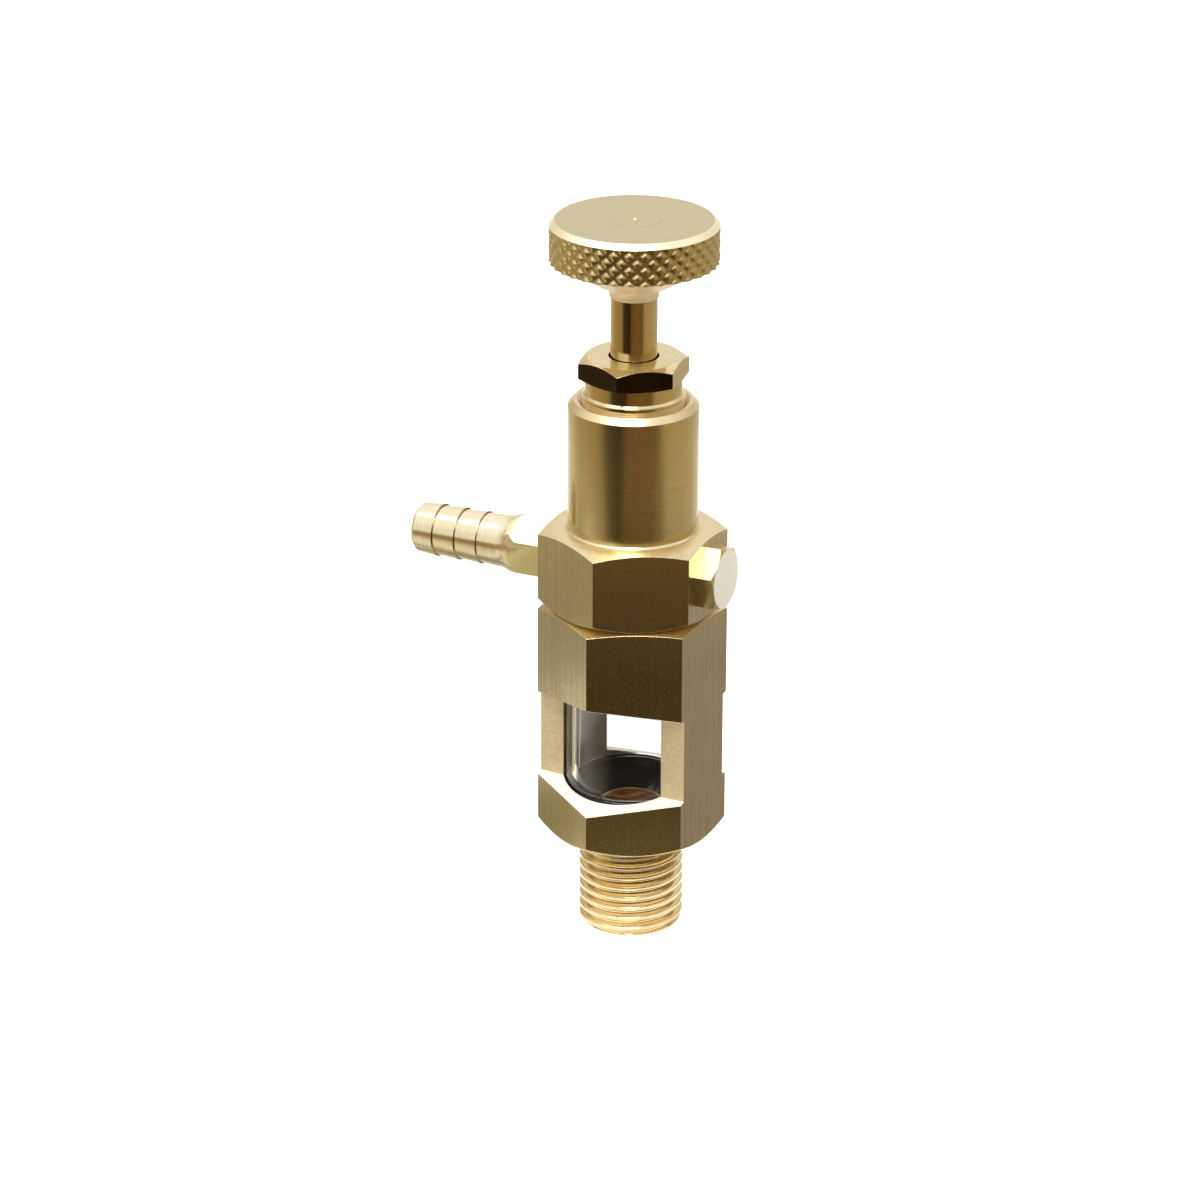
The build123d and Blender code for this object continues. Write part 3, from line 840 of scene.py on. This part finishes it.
def grown(name, tree, material, **sizes):
    """Run a geometry tree with these sizes and return its result as a bmesh."""
    holder = bpy.data.objects.new(name, bpy.data.meshes.new(name))
    bpy.context.collection.objects.link(holder)
    modifier = holder.modifiers.new(name, "NODES")
    modifier.node_group = tree
    sockets = {item.name: item.identifier for item in tree.interface.items_tree if item.in_out == "INPUT"}
    modifier[sockets["Material"]] = material
    for key, value in sizes.items():
        modifier[sockets[key.replace("_", " ")]] = value
    ready = holder.evaluated_get(bpy.context.evaluated_depsgraph_get())
    mesh = bpy.data.meshes.new_from_object(ready)
    holder.modifiers.remove(modifier)
    bpy.data.objects.remove(holder)
    shape = bmesh.new()
    shape.from_mesh(mesh)
    bpy.data.meshes.remove(mesh)
    return shape


# %% [markdown]
# ## Sight housing
# The housing is hex bar with two milled windows, and its faces show three tools. The six flats
# are drawn bar. The lands beside the windows were milled and are grainy. The ledge below the
# front window is brighter still, a near-white colour that is painted light. The one at the back
# lies in shade, painted by giving it the darker finish of the bore. The faces are told apart by
# where they are and which way they point.

# %% Sizes and finishes of the housing
outlet_length = 13.3
stub_top = outlet_length + 0.02
stub_radius = 7.0
outlet_bore_radius = 4.0
outlet_chamfer = 0.3
thread_depth = 0.70
thread_pitch = 1.5
thread_runout = 12.5
thread_turns = 11
thread_steps = 96
housing_turn = math.radians(-4.2)
window_land = 5.5
window_low = 19.5
window_high = 36.0
glass_bore_radius = 9.25
bore_margin = 0.9
flats_from = 9.0


def add_shape(target, other):
    """Add one bmesh's geometry to another."""
    mesh = bpy.data.meshes.new("spare")
    other.to_mesh(mesh)
    other.free()
    target.from_mesh(mesh)
    bpy.data.meshes.remove(mesh)


def housing_finish(centre, normal):
    """Number of the face's finish in the list given to finish_piece: mostly the tool's marks, with painted
    light and shade on the ledges.
    """
    flat_turn = Matrix.Rotation(-housing_turn, 3, "Z")
    spot = flat_turn @ centre
    way = flat_turn @ normal
    out = math.hypot(spot.x, spot.y)
    level = math.hypot(way.x, way.y)
    faces_axis = level > 0.9 and spot.x * way.x + spot.y * way.y < 0
    if faces_axis and out < glass_bore_radius + bore_margin:
        return 5 if out < outlet_bore_radius + 0.5 else 3
    in_window = window_low < spot.z < window_high
    if in_window and abs(way.y) > 0.999 and abs(abs(spot.y) - window_land) < 0.1:
        return 1
    # Ledges: the front one gets painted light, the back one the bore's darker finish as painted shade
    if in_window and abs(way.z) > 0.8:
        return 2 if spot.y < 0 else 3
    if level > 0.99 and out > flats_from:
        return 0
    return 4


# %% Build the housing above its stub
housing_shape = node_copy("sight_housing")
parts = housing_shape.verts[:] + housing_shape.edges[:] + housing_shape.faces[:]
cut = {"plane_co": (0, 0, stub_top * mm), "plane_no": (0, 0, 1), "clear_inner": True}
bmesh.ops.bisect_plane(housing_shape, geom=parts, **cut)
open_edges = [edge for edge in housing_shape.edges if edge.is_boundary]
bmesh.ops.triangle_fill(housing_shape, edges=open_edges, use_beauty=True)
bmesh.ops.recalc_face_normals(housing_shape, faces=housing_shape.faces)
housing = finish_piece(
    "windowed_housing",
    housing_shape,
    [drawn_brass, milled_brass, front_ledge_painted_light_brass, bore_brass, rim_brass, outlet_brass],
    "sight_housing",
    "body",
    pick=housing_finish,
)
ease_edges(housing, 0.07)

# %% Build the threaded stub
stub_shape = grown(
    "outlet stub",
    thread_tree,
    thread_brass,
    Outer_Radius=stub_radius,
    Depth=thread_depth,
    Pitch=thread_pitch,
    Length=stub_top,
    Runout=thread_runout,
    Turns=thread_turns,
    Steps=thread_steps,
)
inner = [(stub_radius - thread_depth, 0), (outlet_bore_radius + outlet_chamfer, 0)]
inner += [(outlet_bore_radius, outlet_chamfer), (outlet_bore_radius, stub_top), (stub_radius, stub_top)]
add_shape(stub_shape, turned_mesh(inner, steps=thread_steps, closed=False))
bmesh.ops.remove_doubles(stub_shape, verts=stub_shape.verts, dist=3e-6)
bmesh.ops.recalc_face_normals(stub_shape, faces=stub_shape.faces)
print("open edges on the stub:", sum(edge.is_boundary for edge in stub_shape.edges))


def stub_finish(centre, normal):
    """Bored inside or threaded outside."""
    return 1 if math.hypot(centre.x, centre.y) < outlet_bore_radius + 0.2 else 0


finish_piece(
    "threaded_stub",
    stub_shape,
    [thread_brass, outlet_brass],
    None,
    "body",
    smooth=24.0,
    pick=stub_finish,
)

# %% [markdown]
# ## Upper body
# The upper body is one piece of the same bar, with a turned cylinder above its hex. The hex
# flats keep the drawn streaks. The cylinder and both chamfers were cut on the lathe.

# %% Dress the upper body
joint_z = 46.05
hex_top_z = 57.3
rim_z = 75.3
rim_chamfer = 0.9
body_flats_from = 8.9


def body_finish(centre, normal):
    """Drawn flats, turned outside or bored inside."""
    out = math.hypot(centre.x, centre.y)
    level = math.hypot(normal.x, normal.y)
    if centre.x * normal.x + centre.y * normal.y < -0.1:
        return 2
    if joint_z < centre.z < hex_top_z and level > 0.99 and out > body_flats_from:
        return 0
    if centre.z < joint_z:
        return 2
    if level < 0.9 and (centre.z < hex_top_z + 0.1 or centre.z > rim_z - rim_chamfer):
        return 3
    return 1


upper_body = finish_piece(
    "hex_body",
    node_copy("upper_body"),
    [drawn_brass, turned_brass, bore_brass, rim_brass],
    "upper_body",
    "body",
    pick=body_finish,
)
ease_edges(upper_body, 0.09)

# %% [markdown]
# ## Gland nut
# The nut is polished, so its flats look black or bright and hardly anything between. The black of
# the two flats towards the windows' side is a painted dark reflection in their colour.
# Its edges are a little softer than those of the hex bodies.

# %% Dress the gland nut
nut_hex_low = 78.2
nut_flats_from = 6.0


def nut_finish(centre, normal):
    """The two flats towards the windows' side get a painted dark reflection, the rest is polished."""
    on_hex = math.hypot(centre.x, centre.y) > nut_flats_from and centre.z > nut_hex_low
    return 1 if on_hex and normal.y < -0.3 and abs(normal.z) < 0.05 else 0


gland_nut = finish_piece(
    "gland_hex_nut",
    node_copy("gland_nut"),
    [polished_brass, nut_painted_reflection_brass],
    "gland_nut",
    "body",
    pick=nut_finish,
)
ease_edges(gland_nut, 0.10)

# %% [markdown]
# ## Nipple and plug
# Both fittings lie on the cross bore. The nipple has a short hex, a coned shoulder and a tail
# with three barbs, all turned about its own level axis. The small steps behind the barbs lie in
# shade, which is painted into them as darker brass. The plug is a short hex-head screw.

# %% Dress the fittings
tail_from = 18.5
fitting_flats_from = 3.7


def fitting_finish(centre, normal):
    """Turned surface, hex flat, end face or step of a barb, told apart along the fitting."""
    out = math.hypot(centre.y, centre.z - port_height)
    if abs(normal.x) < 0.02 and out > fitting_flats_from and abs(centre.x) < tail_from:
        return 1
    # Steps of the barbs: darker brass as painted shade
    if normal.x > 0.5 and centre.x < -tail_from:
        return 3
    return 2 if normal.x > 0.9 else 0


inlet_nipple = finish_piece(
    "barbed_nipple",
    node_copy("inlet_nipple"),
    [fitting_brass, fitting_flat_brass, fitting_face_brass, barb_step_shade_brass],
    "inlet_nipple",
    "body",
    pick=fitting_finish,
)
ease_edges(inlet_nipple, 0.08)
side_plug = finish_piece(
    "hex_plug",
    node_copy("side_plug"),
    [fitting_brass, rim_brass, fitting_face_brass],
    "side_plug",
    "body",
    pick=fitting_finish,
)
ease_edges(side_plug, 0.10)

# %% [markdown]
# ## Knob and its knurl
# A knurling wheel presses two sets of slanting grooves into the rim, and what stays between them
# is a field of small pyramids. That is a rule too: the height at a point is set by how far it is
# from the nearest groove of either set. A tree wraps a grid round the rim and lifts each point
# by that height.

# %% Geometry tree for the knurl
sizes = ["Core Radius", "Depth", "Foot", "Height", "Crossings"]
knurl_tree, given = ruled_tree("diamond knurl", sizes, ["Around"])
tree = knurl_tree
knurl_samples = 16
knurl_rows = 42
knurl_sharpness = 0.3
tooth_foot = 0.14
tooth_head = 0.78
tuck = 0.9
columns = maths(tree, "MULTIPLY_ADD", given["Around"], float(knurl_samples), 1.0)
mesh, across, along = grid_shares(tree, columns, knurl_rows + 2)
angle = maths(tree, "MULTIPLY", across, 2 * math.pi)
row = maths(tree, "MULTIPLY", along, float(knurl_rows + 1))
inner_row = maths(tree, "DIVIDE", maths(tree, "SUBTRACT", row, 1.0), float(knurl_rows - 1))
climb = held(tree, inner_row, 0.0, 1.0)
height = maths(tree, "MULTIPLY_ADD", climb, given["Height"], given["Foot"])
round_count = maths(tree, "MULTIPLY", across, given["Around"])
climb_count = maths(tree, "MULTIPLY", climb, given["Crossings"])


def groove_distance(tree, count):
    """Nought in a groove, one half way between two grooves of the same set."""
    return maths(tree, "MULTIPLY_ADD", off_middle(tree, maths(tree, "FRACT", count)), -2.0, 1.0)


rising = groove_distance(tree, maths(tree, "ADD", round_count, climb_count))
falling_count = maths(tree, "SUBTRACT", round_count, climb_count)
falling = groove_distance(tree, maths(tree, "ADD", falling_count, 100.0))
tooth = maths(tree, "SMOOTH_MIN", rising, falling, knurl_sharpness)
tooth = ranged(tree, tooth, tooth_foot, tooth_head, smooth)
radius = maths(tree, "MULTIPLY_ADD", tooth, given["Depth"], given["Core Radius"])
first_row = maths(tree, "LESS_THAN", row, 0.5)
last_row = maths(tree, "GREATER_THAN", row, knurl_rows + 0.5)
end_rows = maths(tree, "ADD", first_row, last_row)
radius = maths(tree, "MULTIPLY_ADD", end_rows, -tuck, radius)
wrap_and_finish(tree, mesh, angle, radius, height, given["Material"])

# %% [markdown]
# The rest of the knob is turned: a flat face with a bright chamfer, the coned underside, and a
# hub that sweeps down to the stem. The face lies level, so the picture shows its fine rings.

# %% Sizes of the knob in millimetres
knob_top = 100.0
rim_head = 99.23
rim_foot = 94.4
rim_radius = 11.2
rim_core_radius = 10.5
face_radius = 10.43
cone_rim = (9.8, 94.1)
core_foot = (rim_core_radius, 94.34)
hub_foot = 89.5
hub_lip = 0.15
hub_radius = 4.9
hub_sweep = 1.65
hub_steps = 8
stem_radius = 3.1
peen_radius = 3.45
peen_depth = 0.35
knurl_core_radius = 10.95
knurl_depth = 0.24
knurl_around = 34
knurl_crossings = 2.5

# %% Build the knob
sweep_foot = hub_foot + hub_lip
lip_radius = hub_radius - hub_sweep
knob_outline = [(stem_radius, hub_foot), (lip_radius, hub_foot), (lip_radius, sweep_foot)]
for step in range(1, hub_steps):
    sweep = math.radians(180 - 90 * step / hub_steps)
    out = hub_radius + hub_sweep * math.cos(sweep)
    knob_outline.append((out, sweep_foot + hub_sweep * math.sin(sweep)))
knob_outline += [(hub_radius, sweep_foot + hub_sweep), cone_rim, core_foot]
knob_outline += [(rim_core_radius, rim_head), (rim_radius, rim_head), (face_radius, knob_top)]
knob_outline += [(peen_radius, knob_top), (stem_radius, knob_top - peen_depth)]
knob_shape = turned_mesh(eased(knob_outline, 0.09), steps=160)
knurl_shape = grown(
    "knurl",
    knurl_tree,
    knurl_brass,
    Core_Radius=knurl_core_radius,
    Depth=knurl_depth,
    Foot=rim_foot,
    Height=rim_head - rim_foot,
    Crossings=knurl_crossings,
    Around=knurl_around,
)
edges = [edge for edge in knurl_shape.edges if edge.is_boundary]
bmesh.ops.bridge_loops(knurl_shape, edges=edges)
bmesh.ops.recalc_face_normals(knurl_shape, faces=knurl_shape.faces)
print("open edges on the knurl:", sum(edge.is_boundary for edge in knurl_shape.edges))
add_shape(knob_shape, knurl_shape)


def knob_finish(centre, normal):
    """Face, knurled rim, bright chamfer or plain turned surface."""
    out = math.hypot(centre.x, centre.y)
    if centre.z > knob_top - 0.02:
        return 0
    if out > rim_core_radius + 0.1 and rim_foot - 0.1 < centre.z < rim_head - 0.01:
        return 1
    return 3 if normal.z > 0.3 else 2


finish_piece(
    "knurled_disc_knob",
    knob_shape,
    [knob_face_brass, knurl_brass, hub_brass, chamfer_brass],
    "knurled_knob",
    "spindle",
    smooth=50.0,
    pick=knob_finish,
)

# %% [markdown]
# ## Spindle, glass and gasket
# The stem is polished where the gland seals on it. Its upper end is peened over in the knob's
# face and keeps the small centre hole. The glass is a plain tube with eased rims. The gasket
# below it is dished down to the outlet.

# %% Build the spindle
needle_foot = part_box("needle_spindle")[0][2] / mm
needle_tip_radius = 0.5
shank_radius = 2.4
cone_top = 48.8
screw_low = 53.0
screw_high = 60.0
screw_radius = 4.0
screw_chamfer = 0.3
centre_hole = 0.45
chamfered_radius = screw_radius - screw_chamfer
spindle_outline = [(0, needle_foot), (needle_tip_radius, needle_foot), (shank_radius, cone_top)]
spindle_outline += [(shank_radius, screw_low), (chamfered_radius, screw_low)]
spindle_outline += [(screw_radius, screw_low + screw_chamfer), (screw_radius, screw_high - screw_chamfer)]
spindle_outline += [(chamfered_radius, screw_high), (stem_radius, screw_high)]
spindle_outline += [(stem_radius, knob_top - peen_depth), (peen_radius, knob_top)]
spindle_outline += [(centre_hole, knob_top), (0, knob_top - centre_hole)]
finish_piece(
    "polished_stem",
    turned_mesh(eased(spindle_outline, 0.05, closed=False), closed=False),
    [stem_brass, knob_face_brass],
    "needle_spindle",
    "spindle",
    pick=lambda centre, normal: 1 if centre.z > knob_top - 0.05 else 0,
)

# %% Build the glass and the gasket below it
glass_inside = 7.5
glass_outside = 9.0
glass_low, glass_high = (corner[2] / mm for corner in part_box("sight_glass"))
tube = [(glass_inside, glass_low), (glass_outside, glass_low)]
tube += [(glass_outside, glass_high), (glass_inside, glass_high)]
finish_piece(
    "glass_tube",
    turned_mesh(eased(tube, 0.25), steps=192),
    [clear_glass],
    "sight_glass",
    "body",
    smooth=60.0,
)

gasket_bore = 4.4
gasket_radius = 9.1
dish_rim = 7.4
dish_slope = 0.3
dish_depth = 0.9
gasket_lip = 0.35
gasket_low, gasket_high = (corner[2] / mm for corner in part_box("lower_gasket"))
gasket_outline = [(gasket_bore, gasket_low), (gasket_radius, gasket_low), (gasket_radius, gasket_high)]
gasket_outline += [(dish_rim, gasket_high), (dish_rim - dish_slope, gasket_high - dish_depth)]
gasket_outline += [(gasket_bore + 0.1, gasket_low + gasket_lip)]
finish_piece(
    "dished_gasket",
    turned_mesh(eased(gasket_outline, 0.2)),
    [rubber],
    "lower_gasket",
    "body",
)

# %% [markdown]
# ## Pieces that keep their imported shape
# What lies hidden inside, or shows only as a sliver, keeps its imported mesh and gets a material.

# %% Materials for the hidden pieces
hidden = {
    "upper_gasket": rubber,
    "nipple_seal": rubber,
    "plug_seal": rubber,
    "gland_packing": packing,
    "packing_washer": bore_brass,
    "thrust_washer": bore_brass,
    "drip_nozzle": turned_brass,
    "spindle_spring": steel,
}
for name, material in hidden.items():
    data = nodes[name].data
    data.materials.clear()
    data.materials.append(material)
print("painted nodes:", len(hidden))
